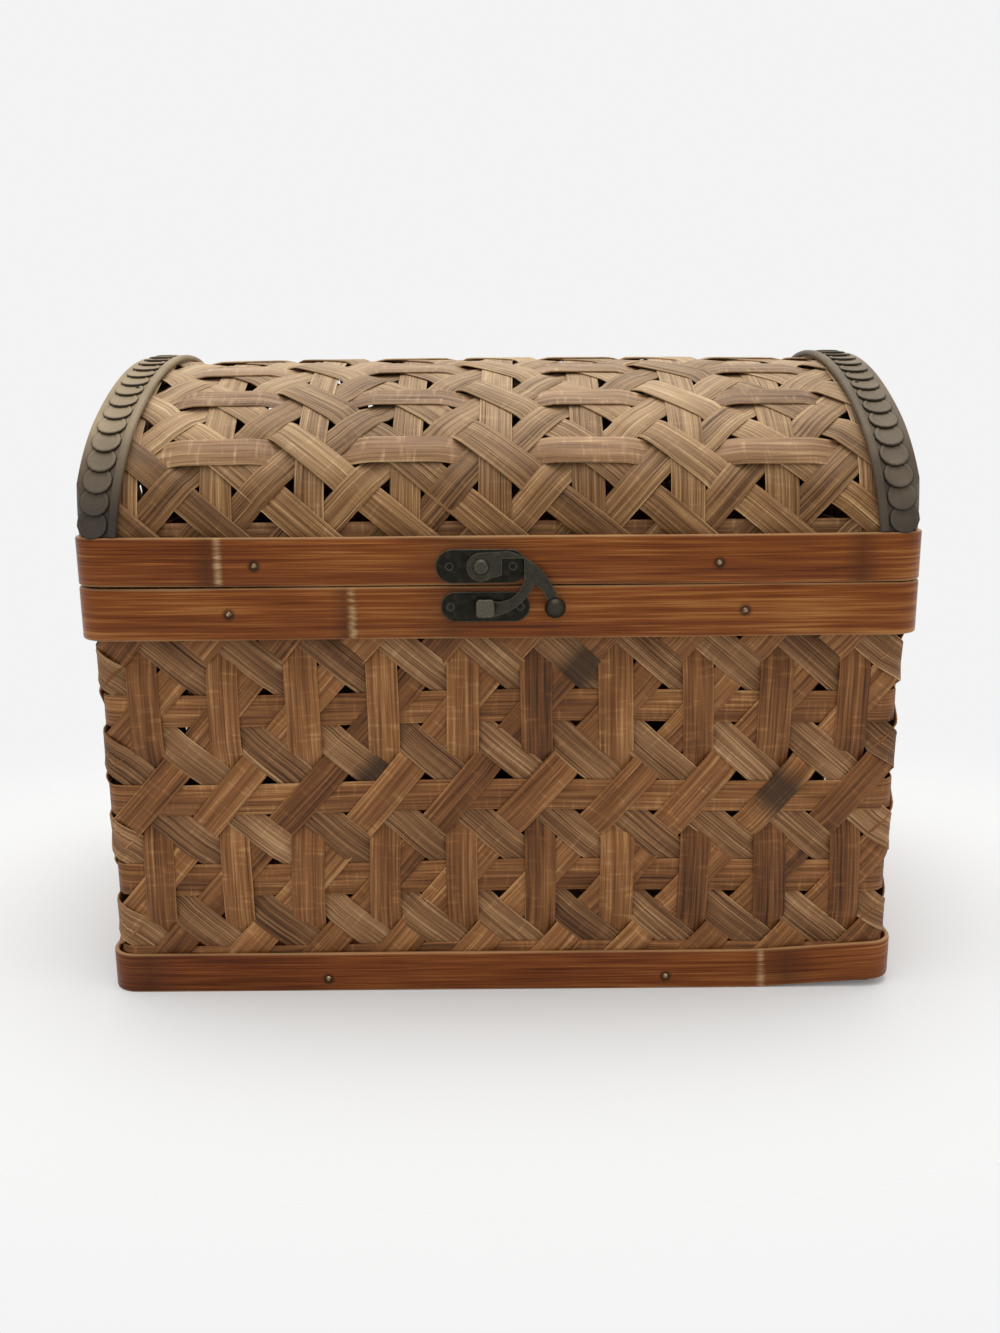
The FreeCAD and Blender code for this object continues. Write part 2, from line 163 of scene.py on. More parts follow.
# fibre grain that runs along a strip: Along in metres, Across from -0.5 to 0.5
grainSet = {
    "roughness": 0.6,
    "seedStep": 7.3,
    # detail and shift
    "noises": {"Fibre": (2.0, 0.0), "Hair": (1.0, 3.1), "Blotch": (2.0, 9.7), "Scratch": (1.0, 5.3)},
    "hairLength": 2.2,         # hairs are shorter and finer than fibres
    "hairFibres": 3.4,
    "blotch": (22.0, 0.9),     # scale along and across
    "scratch": (620.0, 1.3),
}


def makeFibreGroup(s):
    inputs = [(title, floatSocket, 0.0) for title in ("Along", "Across", "Seed", "Fibres", "Length")]
    outputs = [(title, floatSocket) for title in ("Fibre", "Hair", "Blotch", "Scratch", "Edge")]
    tree, source, result = newTree("fibreGrain", "ShaderNodeTree", inputs, outputs)
    along, across, seed, fibres, length = (source.outputs[title] for title, socket, value in inputs)

    def stretched(output, lengthwise, crosswise):
        detail, shift = s["noises"][output]
        vector = addNode(tree, "ShaderNodeCombineXYZ", {
            0: calc(tree, "MULTIPLY", along, lengthwise),
            1: calc(tree, "MULTIPLY", across, crosswise),
            2: weigh(tree, seed, s["seedStep"], shift)}).outputs[0]
        noise = addNode(tree, "ShaderNodeTexNoise", {
            "Vector": vector, "Scale": 1.0, "Detail": detail, "Roughness": s["roughness"]})
        tree.links.new(noise.outputs[0], result.inputs[output])

    finer = calc(tree, "MULTIPLY", fibres, s["hairFibres"])
    stretched("Fibre", length, fibres)
    stretched("Hair", calc(tree, "MULTIPLY", length, s["hairLength"]), finer)
    stretched("Blotch", *s["blotch"])
    stretched("Scratch", *s["scratch"])
    tree.links.new(calc(tree, "MULTIPLY", calc(tree, "ABSOLUTE", across), 2.0), result.inputs["Edge"])
    return tree


fibreGroup = makeFibreGroup(grainSet)


# material helpers
def newMaterial(name, roughness, specular=0.5, coat=0.0, metallic=0.0, coatRough=0.25):
    made = bpy.data.materials.new(name)
    made.use_nodes = True
    shader = made.node_tree.nodes["Principled BSDF"]
    shader.inputs["Roughness"].default_value = roughness
    shader.inputs["Specular IOR Level"].default_value = specular
    shader.inputs["Coat Weight"].default_value = coat
    shader.inputs["Coat Roughness"].default_value = coatRough
    shader.inputs["Metallic"].default_value = metallic
    return made, made.node_tree, shader


def setFinish(tree, shader, colour, rough):
    tree.links.new(colour, shader.inputs["Base Color"])
    tree.links.new(rough, shader.inputs["Roughness"])


def bump(tree, shader, height, distance, strength):
    made = addNode(tree, "ShaderNodeBump", {"Height": height, "Distance": distance, "Strength": strength})
    tree.links.new(made.outputs[0], shader.inputs["Normal"])


def fineFinish(tree, shader, colour, fine, s):
    setFinish(tree, shader, colour, weigh(tree, fine, *s["fineRough"]))
    if "relief" in s:
        bump(tree, shader, fine, *s["relief"])


def grainOf(tree, fibres, length):
    return addNode(tree, "ShaderNodeGroup", {
        "Along": attribute(tree, "along"), "Across": attribute(tree, "across"),
        "Seed": attribute(tree, "stripSeed"), "Fibres": fibres, "Length": length},
        node_tree=fibreGroup).outputs


def nearness(tree, value, place, width):
    # 1 at the place, 0 from a width away
    away = calc(tree, "ABSOLUTE", calc(tree, "SUBTRACT", value, place))
    return calc(tree, "SUBTRACT", 1.0, calc(tree, "DIVIDE", away, width), clamp=True)


def speckle(tree, scale, detail=4.0, stretch=(1.0, 1.0, 1.0)):
    placed = addNode(tree, "ShaderNodeMapping", {"Vector": coordinates(tree), "Scale": stretch}).outputs[0]
    made = addNode(tree, "ShaderNodeTexNoise", {"Vector": placed, "Scale": scale, "Detail": detail})
    return made.outputs[0]


# woven strips: smooth skin strips and hairy split ones
stripLooks = {
    "bodySkin": {
        "stops": [(0.0, (0.035, 0.012, 0.004)), (0.40, (0.165, 0.062, 0.018)),
                  (0.72, (0.290, 0.122, 0.039)), (1.0, (0.480, 0.255, 0.100))],
        "fibres": 12.0, "length": 24.0, "rough": 0.46, "hair": 0.5,
        "scratch": 1.0, "bleach": 0.0, "grain": 1.2},
    "bodySplit": {
        "stops": [(0.0, (0.030, 0.012, 0.005)), (0.38, (0.170, 0.076, 0.029)),
                  (0.70, (0.355, 0.184, 0.080)), (1.0, (0.660, 0.430, 0.220))],
        "fibres": 19.0, "length": 18.0, "rough": 0.55, "hair": 0.9,
        "scratch": 0.5, "bleach": 0.0, "grain": 1.1},
    "lidSkin": {
        "stops": [(0.0, (0.045, 0.018, 0.006)), (0.40, (0.190, 0.084, 0.031)),
                  (0.72, (0.330, 0.168, 0.070)), (1.0, (0.560, 0.360, 0.180))],
        "fibres": 9.0, "length": 24.0, "rough": 0.44, "hair": 0.5,
        "scratch": 1.3, "bleach": 0.45, "grain": 1.0},
    "lidSplit": {
        "stops": [(0.0, (0.035, 0.016, 0.006)), (0.36, (0.178, 0.082, 0.029)),
                  (0.70, (0.374, 0.202, 0.082)), (1.0, (0.720, 0.505, 0.260))],
        "fibres": 15.0, "length": 18.0, "rough": 0.52, "hair": 0.9,
        "scratch": 0.5, "bleach": 0.55, "grain": 1.0},
}
stripShade = {
    "specular": 0.2,
    "middle": 0.48,
    "tone": 0.24,
    "fibre": 1.15,
    "hair": 1.1,
    "blotch": 0.7,
    "scratchFrom": 0.56,
    # painted highlight: a thin pale line along both edges of each strip, its strength and sharpness
    "edge": 0.20,
    "edgePower": 14.0,
    # painted sheen on the top of the lid: the heights where it starts and is full, its weight by shade, and
    # its colour
    "sheenHeights": (0.165, 0.203),
    "sheenShade": (1.2, 0.1),
    "sheenColour": (0.640, 0.500, 0.322, 1),
    "stain": 0.82,
    "stainColour": (0.016, 0.009, 0.006, 1),
    "hairRough": 0.25,
    "roughDrop": 0.1,
    "relief": 0.22 * mm,
    "reliefLeast": 0.55,
    "reliefHair": 0.35,
}


def makeStripMaterial(name, s, w):
    made, tree, shader = newMaterial(name, s["rough"], w["specular"])
    grain = grainOf(tree, s["fibres"], s["length"])
    tone = w["tone"] * s["grain"]
    shade = weigh(tree, attribute(tree, "tone"), tone, w["middle"] - tone / 2)
    for part, weight in (("Fibre", w["fibre"]), ("Hair", w["hair"] * s["hair"]), ("Blotch", w["blotch"])):
        centred = calc(tree, "SUBTRACT", grain[part], 0.5)
        shade = weigh(tree, centred, weight * s["grain"], shade)
    scratch = calc(tree, "MAXIMUM", calc(tree, "SUBTRACT", grain["Scratch"], w["scratchFrom"]), 0.0)
    shade = weigh(tree, scratch, s["scratch"], shade)
    # painted highlight along both edges of each strip
    edge = calc(tree, "POWER", grain["Edge"], w["edgePower"])
    shade = weigh(tree, edge, w["edge"], shade, clamp=True)
    colour = ramp(tree, shade, s["stops"])
    if s["bleach"]:
        # painted sheen: the top of the lid is painted paler, as a highlight of the light from above
        high = splitVector(tree, coordinates(tree))[2]
        pale = mapRange(tree, high, w["sheenHeights"], (0.0, s["bleach"]))
        pale = calc(tree, "MULTIPLY", pale, weigh(tree, shade, *w["sheenShade"]), clamp=True)
        colour = mixColour(tree, pale, colour, w["sheenColour"])
    stain = calc(tree, "MULTIPLY", attribute(tree, "stain"), w["stain"])
    rough = weigh(tree, grain["Hair"], w["hairRough"], s["rough"] - w["roughDrop"])
    setFinish(tree, shader, mixColour(tree, stain, colour, w["stainColour"]), rough)
    height = weigh(tree, grain["Hair"], s["hair"], grain["Fibre"])
    bump(tree, shader, height, w["relief"], w["reliefLeast"] + w["reliefHair"] * s["hair"])
    return made


stripMaterials = {name: makeStripMaterial(name, s, stripShade) for name, s in stripLooks.items()}


# bamboo bands: fine grain, worn pale edges and ring marks where the cane had its joints
bandLooks = {
    # metres from the middle of the front: rings and their strength, dark patches and their width,
    # nails and their offset across the band
    "lidBand": {
        "rings": [(-0.0865, 1.0)], "patches": [(-0.0900, 0.006), (0.1120, 0.006), (-0.0100, 0.022)],
        "nails": [(-0.0754, 0.00115), (0.0680, 0.00115)], "tone": 0.068, "height": 0.0151},
    "rimBand": {
        "rings": [(-0.0455, 0.8)], "patches": [(-0.0480, 0.005), (-0.0150, 0.015)],
        "nails": [(-0.0840, 0.0), (0.0765, 0.0)], "tone": 0.12, "height": 0.0165},
    "baseBand": {
        "rings": [(0.0865, 0.9)], "patches": [(0.0950, 0.010), (-0.1180, 0.012)],
        "nails": [(-0.0580, 0.00235), (0.0547, 0.00235)], "tone": -0.02, "height": 0.0135},
    "innerBand": {
        "rings": [(0.0600, 0.7)], "patches": [(-0.0800, 0.012)],
        "nails": [], "tone": 0.1, "height": 0.0110},
}
bandShade = {
    "surface": (0.3, 0.12, 0.03),    # roughness, specular, coat
    "fibres": 13.0,
    "length": 16.0,
    "stops": [(0.0, (0.026, 0.006, 0.002)), (0.38, (0.118, 0.027, 0.005)),
              (0.68, (0.228, 0.064, 0.012)), (1.0, (0.420, 0.180, 0.050))],
    "least": -0.60,
    "lean": 0.55,                    # the tone rises to the right, by no more than leanMost
    "leanMost": 0.05,
    "weights": {"Fibre": 1.00, "Hair": 0.75, "Blotch": 0.55},
    "patch": 0.9,
    "patchColour": (0.022, 0.010, 0.006, 1),
    "ringWidth": 1.6 * mm,
    "ringRagged": 3.0 * mm,
    "ringFibre": (3.2, -0.95),
    "ringColour": (0.50, 0.33, 0.17, 1),
    "nailReach": (1.1 * mm, 2.4 * mm),
    "nailDark": 0.85,
    "nailColour": (0.014, 0.006, 0.003, 1),
    "wornBlotch": 0.16,
    "wornFrom": (0.985, 1.075),
    "worn": 0.62,
    "wornColour": (0.46, 0.27, 0.12, 1),
    "hairRough": (0.30, 0.18),
    "relief": (0.16 * mm, 0.6),
}


def makeBandMaterial(name, s, w):
    made, tree, shader = newMaterial(name, *w["surface"])
    grain = grainOf(tree, w["fibres"], w["length"])
    along = attribute(tree, "along")
    tone = s["tone"] + w["least"]
    shade = calc(tree, "MAXIMUM", weigh(tree, along, w["lean"], tone), tone - w["leanMost"])
    shade = calc(tree, "MINIMUM", shade, tone + w["leanMost"])
    for part, weight in w["weights"].items():
        shade = weigh(tree, grain[part], weight, shade)
    colour = ramp(tree, shade, w["stops"])
    for place, width in s["patches"]:
        near = nearness(tree, along, place, width)
        near = calc(tree, "MULTIPLY", near, calc(tree, "MULTIPLY", grain["Fibre"], w["patch"]), clamp=True)
        colour = mixColour(tree, near, colour, w["patchColour"])
    for place, strength in s["rings"]:
        ragged = weigh(tree, grain["Hair"], w["ringRagged"], place - w["ringRagged"] / 2)
        ring = nearness(tree, along, ragged, w["ringWidth"])
        broken = weigh(tree, grain["Fibre"], *w["ringFibre"])
        ring = calc(tree, "MULTIPLY", ring, broken, clamp=True)
        colour = mixColour(tree, calc(tree, "MULTIPLY", ring, strength), colour, w["ringColour"])
    for place, offset in s["nails"]:
        aside = calc(tree, "SUBTRACT", along, place)
        down = weigh(tree, attribute(tree, "across"), s["height"], -offset)
        square = weigh(tree, aside, aside, calc(tree, "MULTIPLY", down, down))
        dark = mapRange(tree, calc(tree, "SQRT", square), w["nailReach"], (w["nailDark"], 0.0))
        colour = mixColour(tree, dark, colour, w["nailColour"])
    worn = weigh(tree, grain["Blotch"], w["wornBlotch"], grain["Edge"])
    worn = mapRange(tree, worn, w["wornFrom"], (0.0, w["worn"]))
    rough = weigh(tree, grain["Hair"], *w["hairRough"])
    setFinish(tree, shader, mixColour(tree, worn, colour, w["wornColour"]), rough)
    bump(tree, shader, calc(tree, "ADD", grain["Hair"], grain["Fibre"]), *w["relief"])
    return made


bandMaterials = {name: makeBandMaterial(name, s, bandShade) for name, s in bandLooks.items()}


# antique bronze: dark patina, brassy where edges are rubbed
bronzeSet = {
    "surface": (0.38, 0.5, 0.0, 0.85),    # roughness, specular, coat, metallic
    "cloud": 420.0,
    "fine": 2600.0,
    "stops": [(0.25, (0.006, 0.005, 0.0035)), (0.55, (0.014, 0.012, 0.0075)), (0.8, (0.036, 0.028, 0.016))],
    "edge": 0.45 * mm,
    "edgeGain": 7.0,
    "rub": (1.5, -0.2),
    "rubbedColour": (0.215, 0.190, 0.145, 1),
    "fineRough": (0.35, 0.24),
    "relief": (0.10 * mm, 0.35),
}


def makeBronze(s):
    made, tree, shader = newMaterial("antiqueBronze", *s["surface"])
    fine = speckle(tree, s["fine"])
    colour = ramp(tree, speckle(tree, s["cloud"]), s["stops"])
    rounded = addNode(tree, "ShaderNodeBevel", {"Radius": s["edge"]}).outputs[0]
    facing = addNode(tree, "ShaderNodeNewGeometry").outputs["Normal"]
    level = addNode(tree, "ShaderNodeVectorMath", {0: rounded, 1: facing}, operation="DOT_PRODUCT")
    edge = calc(tree, "SUBTRACT", 1.0, level.outputs["Value"])
    edge = calc(tree, "MULTIPLY", edge, s["edgeGain"], clamp=True)
    worn = calc(tree, "MAXIMUM", attribute(tree, "wear"), edge)
    rubbed = calc(tree, "MULTIPLY", worn, weigh(tree, fine, *s["rub"]), clamp=True)
    colour = mixColour(tree, rubbed, colour, s["rubbedColour"])
    fineFinish(tree, shader, colour, fine, s)
    return made


brassSet = {
    "surface": (0.36, 0.5, 0.0, 0.8),
    "cloud": 1500.0,
    "fine": 3000.0,
    "stops": [(0.3, (0.10, 0.062, 0.030)), (0.7, (0.46, 0.33, 0.18))],
    "fineRough": (0.3, 0.2),
}


def makeNailBrass(s):
    made, tree, shader = newMaterial("nailBrass", *s["surface"])
    colour = ramp(tree, speckle(tree, s["cloud"]), s["stops"])
    fineFinish(tree, shader, colour, speckle(tree, s["fine"]), s)
    return made


# both trims are painted with a tan highlight towards the top, the left one more, and are darker towards the
# feet
leatherSet = {
    "surface": (0.5, 0.25),
    "cloud": 45.0,
    "fine": 900.0,
    "stops": [(0.3, (0.030, 0.021, 0.013)), (0.52, (0.072, 0.052, 0.034)), (0.75, (0.200, 0.148, 0.094))],
    # painted highlight towards the top of the trims, stronger on the left one
    "agedLeft": (0.68, 0.32),
    "highlightHeights": (0.160, 0.186),
    "highlightCloud": (1.2, 0.2),
    "highlightColour": (0.335, 0.250, 0.145, 1),
    "raisedFine": (1.0, -0.1),
    "raisedColour": (0.250, 0.192, 0.122, 1),
    "footHeights": (0.153, 0.184),
    "footDark": 0.62,
    "footColour": (0.027, 0.021, 0.019, 1),
    "grooveShadeColour": (0.010, 0.007, 0.005, 1),
    "fineRough": (0.4, 0.28),
    "relief": (0.20 * mm, 0.4),
}


def makeTrimLeather(s):
    made, tree, shader = newMaterial("trimLeather", *s["surface"])
    cloudy = speckle(tree, s["cloud"])
    fine = speckle(tree, s["fine"])
    colour = ramp(tree, cloudy, s["stops"])
    place = splitVector(tree, coordinates(tree))
    # painted highlight: the top of each trim is painted tan, more on the left trim
    left = weigh(tree, calc(tree, "LESS_THAN", place[0], 0.0), *s["agedLeft"])
    topHighlight = calc(tree, "MULTIPLY", left, mapRange(tree, place[2], s["highlightHeights"], (0.0, 1.0)))
    topHighlight = calc(tree, "MULTIPLY", topHighlight, weigh(tree, cloudy, *s["highlightCloud"]), clamp=True)
    colour = mixColour(tree, topHighlight, colour, s["highlightColour"])
    raised = attribute(tree, "raised")
    rubbed = calc(tree, "MULTIPLY", raised, weigh(tree, fine, *s["raisedFine"]), clamp=True)
    colour = mixColour(tree, rubbed, colour, s["raisedColour"])
    low = mapRange(tree, place[2], s["footHeights"], (s["footDark"], 0.0))
    colour = mixColour(tree, low, colour, s["footColour"])
    # painted shade: the sunk edge of each scale, where it tucks under the next, is painted near black
    grooveShade = calc(tree, "MULTIPLY", raised, -1.0, clamp=True)
    colour = mixColour(tree, grooveShade, colour, s["grooveShadeColour"])
    fineFinish(tree, shader, colour, fine, s)
    return made


boardSet = {
    "surface": (0.6, 0.3),
    "rings": (60.0, 5.0, (0.25, 3.0, 1.0)),    # scale, detail, stretch
    "fine": (260.0, 4.0, (0.2, 4.0, 2.0)),
    "ringShade": (0.7, -0.15),
    "fineShade": 0.6,
    "stops": [(0.2, (0.110, 0.062, 0.030)), (0.6, (0.235, 0.150, 0.080)), (0.95, (0.360, 0.250, 0.145))],
    "fineRough": (0.3, 0.45),
    "relief": (0.20 * mm, 0.5),
}


def makePlainWood(s):
    made, tree, shader = newMaterial("plainBoard", *s["surface"])
    fine = speckle(tree, *s["fine"])
    shade = weigh(tree, speckle(tree, *s["rings"]), *s["ringShade"])
    shade = weigh(tree, fine, s["fineShade"], shade)
    colour = ramp(tree, shade, s["stops"])
    fineFinish(tree, shader, colour, fine, s)
    return made


bronze, nailBrass = makeBronze(bronzeSet), makeNailBrass(brassSet)
trimLeather, plainWood = makeTrimLeather(leatherSet), makePlainWood(boardSet)
print("materials made")


# geometry trees
def stored(tree, name, kind):
    return addNode(tree, "GeometryNodeInputNamedAttribute", {"Name": name}, data_type=kind).outputs[0]


def dress(tree, geometry, source, result):
    real = addNode(tree, "GeometryNodeRealizeInstances", {0: geometry}).outputs[0]
    smooth = addNode(tree, "GeometryNodeSetShadeSmooth", {"Geometry": real}).outputs[0]
    dressed = addNode(tree, "GeometryNodeSetMaterial", {
        "Geometry": smooth, "Material": source.outputs["Material"]}).outputs[0]
    tree.links.new(dressed, result.inputs[0])


# every polyline becomes a strip whose flat side faces its outward attribute
def makeSweepTree():
    inputs = [("Geometry", geometrySocket, None), ("Material", "NodeSocketMaterial", None),
              ("Width", floatSocket, 0.0), ("Thickness", floatSocket, 0.0),
              ("Edge Round", floatSocket, 0.0), ("Round Steps", "NodeSocketInt", 1)]
    tree, source, result = newTree("sweepStrip", "GeometryNodeTree", inputs, [("Geometry", geometrySocket)])
    given = source.outputs
    paths = addNode(tree, "GeometryNodeMeshToCurve", {"Mesh": given["Geometry"]}).outputs[0]
    turned = addNode(tree, "GeometryNodeSetCurveNormal", {
        "Curve": paths, "Normal": stored(tree, "outward", "FLOAT_VECTOR")}, mode="FREE").outputs[0]
    flat = addNode(tree, "GeometryNodeCurvePrimitiveQuadrilateral", {
        "Width": given["Thickness"], "Height": given["Width"]}).outputs[0]
    soft = addNode(tree, "GeometryNodeFilletCurve", {
        "Curve": flat, "Count": given["Round Steps"], "Radius": given["Edge Round"],
        "Limit Radius": True}, mode="POLY").outputs[0]
    place = addNode(tree, "GeometryNodeInputPosition").outputs[0]
    across = calc(tree, "DIVIDE", splitVector(tree, place)[1], given["Width"])
    named = addNode(tree, "GeometryNodeStoreNamedAttribute", {
        "Geometry": soft, "Name": "across", "Value": across}, data_type="FLOAT", domain="POINT").outputs[0]
    swept = addNode(tree, "GeometryNodeCurveToMesh", {
        "Curve": turned, "Profile Curve": named, "Scale": stored(tree, "swell", "FLOAT"),
        "Fill Caps": True}).outputs[0]
    dress(tree, swept, source, result)
    return tree


sweepTree = makeSweepTree()


def setInputs(modifier, values):
    for item in modifier.node_group.interface.items_tree:
        if item.in_out == "INPUT" and item.name in values:
            modifier[item.identifier] = values[item.name]


def plainMesh(obj, name):
    bpy.context.view_layer.update()
    evaluated = obj.evaluated_get(bpy.context.evaluated_depsgraph_get())
    mesh = bpy.data.meshes.new_from_object(evaluated)
    bpy.data.objects.remove(obj)
    mesh.name = name
    return addObject(name, mesh)


def pointCloud(name, verts, edges, facts):
    mesh = bpy.data.meshes.new(name)
    mesh.from_pydata(verts, edges, [])
    for key, values in facts.items():
        if isinstance(values[0], Vector):
            layer = mesh.attributes.new(key, "FLOAT_VECTOR", "POINT")
            layer.data.foreach_set("vector", [c for v in values for c in v])
        else:
            layer = mesh.attributes.new(key, "FLOAT", "POINT")
            layer.data.foreach_set("value", values)
    return addObject(name, mesh)


def stripOf(laid, along, **facts):
    # laid has a point and its outward direction at each place along
    return {"points": [at for at, outward in laid], "outward": [outward for at, outward in laid],
            "along": along, **facts}


def sweep(name, strips, width, thickness, edgeRound, steps, material):
    # a strip may also have a stain list, and its own swell, tone and seed
    verts, edges = [], []
    facts = {"outward": [], "along": [], "swell": [], "tone": [], "stripSeed": [], "stain": []}
    for strip in strips:
        first = len(verts)
        count = len(strip["points"])
        verts += strip["points"]
        edges += [(first + i, first + i + 1) for i in range(count - 1)]
        if strip.get("closed"):
            edges.append((first + count - 1, first))
        facts["outward"] += strip["outward"]
        facts["along"] += strip["along"]
        facts["stain"] += strip.get("stain", [0.0] * count)
        facts["swell"] += [strip.get("swell", 1.0)] * count
        facts["tone"] += [strip.get("tone", 0.5)] * count
        facts["stripSeed"] += [strip.get("seed", 0.0)] * count
    guide = pointCloud(name + "Paths", verts, edges, facts)
    modifier = guide.modifiers.new("sweep", "NODES")
    modifier.node_group = sweepTree
    setInputs(modifier, {"Width": width, "Thickness": thickness, "Edge Round": edgeRound,
                         "Round Steps": steps, "Material": material})
    piece = plainMesh(guide, name)
    for extra in ("outward", "swell"):
        found = piece.data.attributes.get(extra)
        if found:
            piece.data.attributes.remove(found)
    return piece


def joinPieces(name, parts):
    chosen = {"active_object": parts[0], "selected_editable_objects": parts, "selected_objects": parts}
    with bpy.context.temp_override(**chosen):
        bpy.ops.object.join()
    parts[0].name = name
    parts[0].data.name = name
    return parts[0]


# the mat: upright strips, rows and two diagonals that all cross at the same points
matSet = {
    "column": 25.7 * mm,       # between the alternating strips
    "row": 29.0 * mm,          # between the strips that cross them
    "skinWidth": 10.3 * mm,
    "splitWidth": 11.0 * mm,
    "thickness": 0.55 * mm,
    "edgeRound": 0.16 * mm,
    "layer": 0.60 * mm,        # rise of one strip over another
    "lowest": 0.45,            # height of the lowest strip, in layers
    "sBend": 1.9 * mm,
    "step": 2.4 * mm,
    "slantStep": 1.8 * mm,
    "risingKind": "skin",
    "rowKind": "skin",
    "edge": 0.0,               # no upright strip is laid this close to the ends
    "slack": 0.001,            # in columns and rows, for strips that lie on the mat's ends
    "rowSlack": 0.1,
    "wander": 0.70 * mm,
    "waveLength": 210 * mm,
    "phase": 6.28,
    "seedMost": 90,
    "swell": (0.94, 1.09),     # narrowest and widest strip
    "tight": 1.22,             # widening of the strips at the back
    "backFamilies": (),
    "clip": 0.02 * mm,         # a point that is held back by more than this is left out
    "stainGain": 1.6,
    "seed": 41,
}
oddLevels = {"upright": 3, "rising": 2, "row": 1, "falling": 0}
evenLevels = {"upright": 0, "rising": 3, "row": 2, "falling": 1}
centreLevels = {"rising": 0.9, "falling": 2.0}
# where a strip changes its level: between crossings, or on its way to and from a cell's centre
changes = {"across": (0.34, 0.66), "toCentre": (0.56, 0.82), "fromCentre": (0.18, 0.44)}
slipSet = {"start": 0.15, "run": 0.7}


def ease(t, start, end):
    t = min(max((t - start) / (end - start), 0.0), 1.0)
    return t * t * (3 - 2 * t)


def levelAt(family, v):
    # v in rows: crossings at whole numbers, cell centres half way
    row = math.floor(v)
    part = v - row
    here = (oddLevels if row % 2 else evenLevels)[family]
    there = (evenLevels if row % 2 else oddLevels)[family]
    if family == "row":
        return (oddLevels if round(v) % 2 else evenLevels)[family]
    if family in centreLevels:
        middle = centreLevels[family]
        if part < 0.5:
            return here + (middle - here) * ease(part * 2, *changes["toCentre"])
        return middle + (there - middle) * ease(part * 2 - 1, *changes["fromCentre"])
    return here + (there - here) * ease(part, *changes["across"])


def slip(v):
    # a slanted strip lies flatter across the open cell and turns back under the crossing
    run = slipSet["run"]
    part = (v - slipSet["start"]) % 1.0
    return 1 - 2 * part / run if part < run else 2 * ease(part, run, 1.0) - 1


def weave(s, uRange, vRange, place, hold, stains=(), closed=False, seed=0, isBack=None):
    # place(u, v, h) gives a point and its outward direction; hold(point) brings it back within the mat
    rng = random.Random(s["seed"] + seed)
    strips = {"skin": [], "split": []}
    p, q = s["column"], s["row"]

    def stainAt(u, v, family):
        near = [1 - math.dist((u, v), (a, b)) / r for a, b, r, stained in stains if stained == family]
        return min(1.0, s["stainGain"] * max([0.0] + near))

    def lay(kind, family, line, length, loop=False):
        drift = rng.uniform(0, s["phase"])
        shift = rng.uniform(-1, 1) * s["wander"]
        facts = {"tone": rng.random(), "seed": rng.uniform(0, s["seedMost"]),
                 "swell": rng.uniform(*s["swell"]), "closed": loop}
        if family in s["backFamilies"] and isBack(line(0.5)[0]):
            facts["swell"] *= s["tight"]
        count = int(length / (s["slantStep"] if family in centreLevels else s["step"]))
        waves = 2 * math.pi * max(1, round(length / s["waveLength"]))
        runs = [([], [], [])]
        for i in range(count if loop else count + 1):
            t = i / count
            u, v, su, sv = line(t)
            aside = shift + s["wander"] * math.sin(drift + t * waves)
            if family == "falling":
                aside += s["sBend"] * slip(v / q)
            height = (levelAt(family, v / q) + s["lowest"]) * s["layer"]
            point, outward = place(u + su * aside, v + sv * aside, height)
            laid, along, stain = runs[-1]
            if (hold(point) - point).length < s["clip"]:
                laid.append((point, outward))
                along.append(t * length)
                stain.append(stainAt(u, v, family))
            elif laid:
                runs.append(([], [], []))
        for laid, along, stain in runs:
            if len(laid) > 2:
                strips[kind].append(stripOf(laid, along, stain=stain, **facts))

    (u0, u1), (v0, v1) = uRange, vRange
    tall = v1 - v0
    wide = u1 - u0
    first = math.ceil(u0 / p - 0.5 - s["slack"])
    last = math.floor(u1 / p - 0.5 + s["slack"])
    for i in range(first, last + 1):
        if u0 + s["edge"] <= (i + 0.5) * p <= u1 - s["edge"]:
            lay("skin", "upright", lambda t, i=i: ((i + 0.5) * p, v0 + t * tall, 1, 0), tall)
    for j in range(math.ceil(v0 / q - s["rowSlack"]), math.floor(v1 / q + s["rowSlack"]) + 1):
        lay(s["rowKind"], "row", lambda t, j=j: (u0 + t * wide, j * q, 0, 1), wide, closed)
    slant = math.hypot(p, q)
    spread = 0 if closed else math.ceil(max(abs(v0), abs(v1)) / q) + 1
    for way, family in ((1, "rising"), (-1, "falling")):
        for k in range(first - spread, last + 1 + spread):
            def line(t, k=k, way=way):
                v = v0 + t * tall
                return (k + 0.5) * p + way * v * p / q, v, q / slant, -way * p / slant
            lay(s["risingKind"] if way > 0 else "split", family, line, tall * slant / q)
    return strips


def mat(name, s, strips, looks, hold):
    parts = []
    for kind in ("skin", "split"):
        title = kind.capitalize()
        parts.append(sweep(name + title, strips[kind], s[kind + "Width"], s["thickness"], s["edgeRound"], 1,
                           stripMaterials[looks + title]))
    piece = joinPieces(name, parts)
    for vert in piece.data.vertices:
        vert.co = hold(vert.co)
    return piece


def ringLength(halfX, halfY, r):
    return 4 * (halfX + halfY) - 8 * r + 2 * math.pi * r


def ringPoint(u, halfX, halfY, r):
    # point and outward direction u metres round a rounded rectangle, from the middle of the front towards +X
    u = (u + halfX - r) % ringLength(halfX, halfY, r)
    quarter = math.pi / 2 * r
    sides = [((0, -1), (1, 0), halfX - r, halfY), ((1, 0), (0, 1), halfY - r, halfX),
             ((0, 1), (-1, 0), halfX - r, halfY), ((-1, 0), (0, -1), halfY - r, halfX)]
    for out, along, half, far in sides:
        outward, along = Vector((*out, 0)), Vector((*along, 0))
        if u <= 2 * half:
            return outward * far + along * (u - half), outward
        u -= 2 * half
        if u <= quarter:
            turned = outward * math.cos(u / r) + along * math.sin(u / r)
            return outward * (far - r) + along * half + turned * r, turned
        u -= quarter
    return Vector((0, -halfY, 0)), Vector((0, -1, 0))


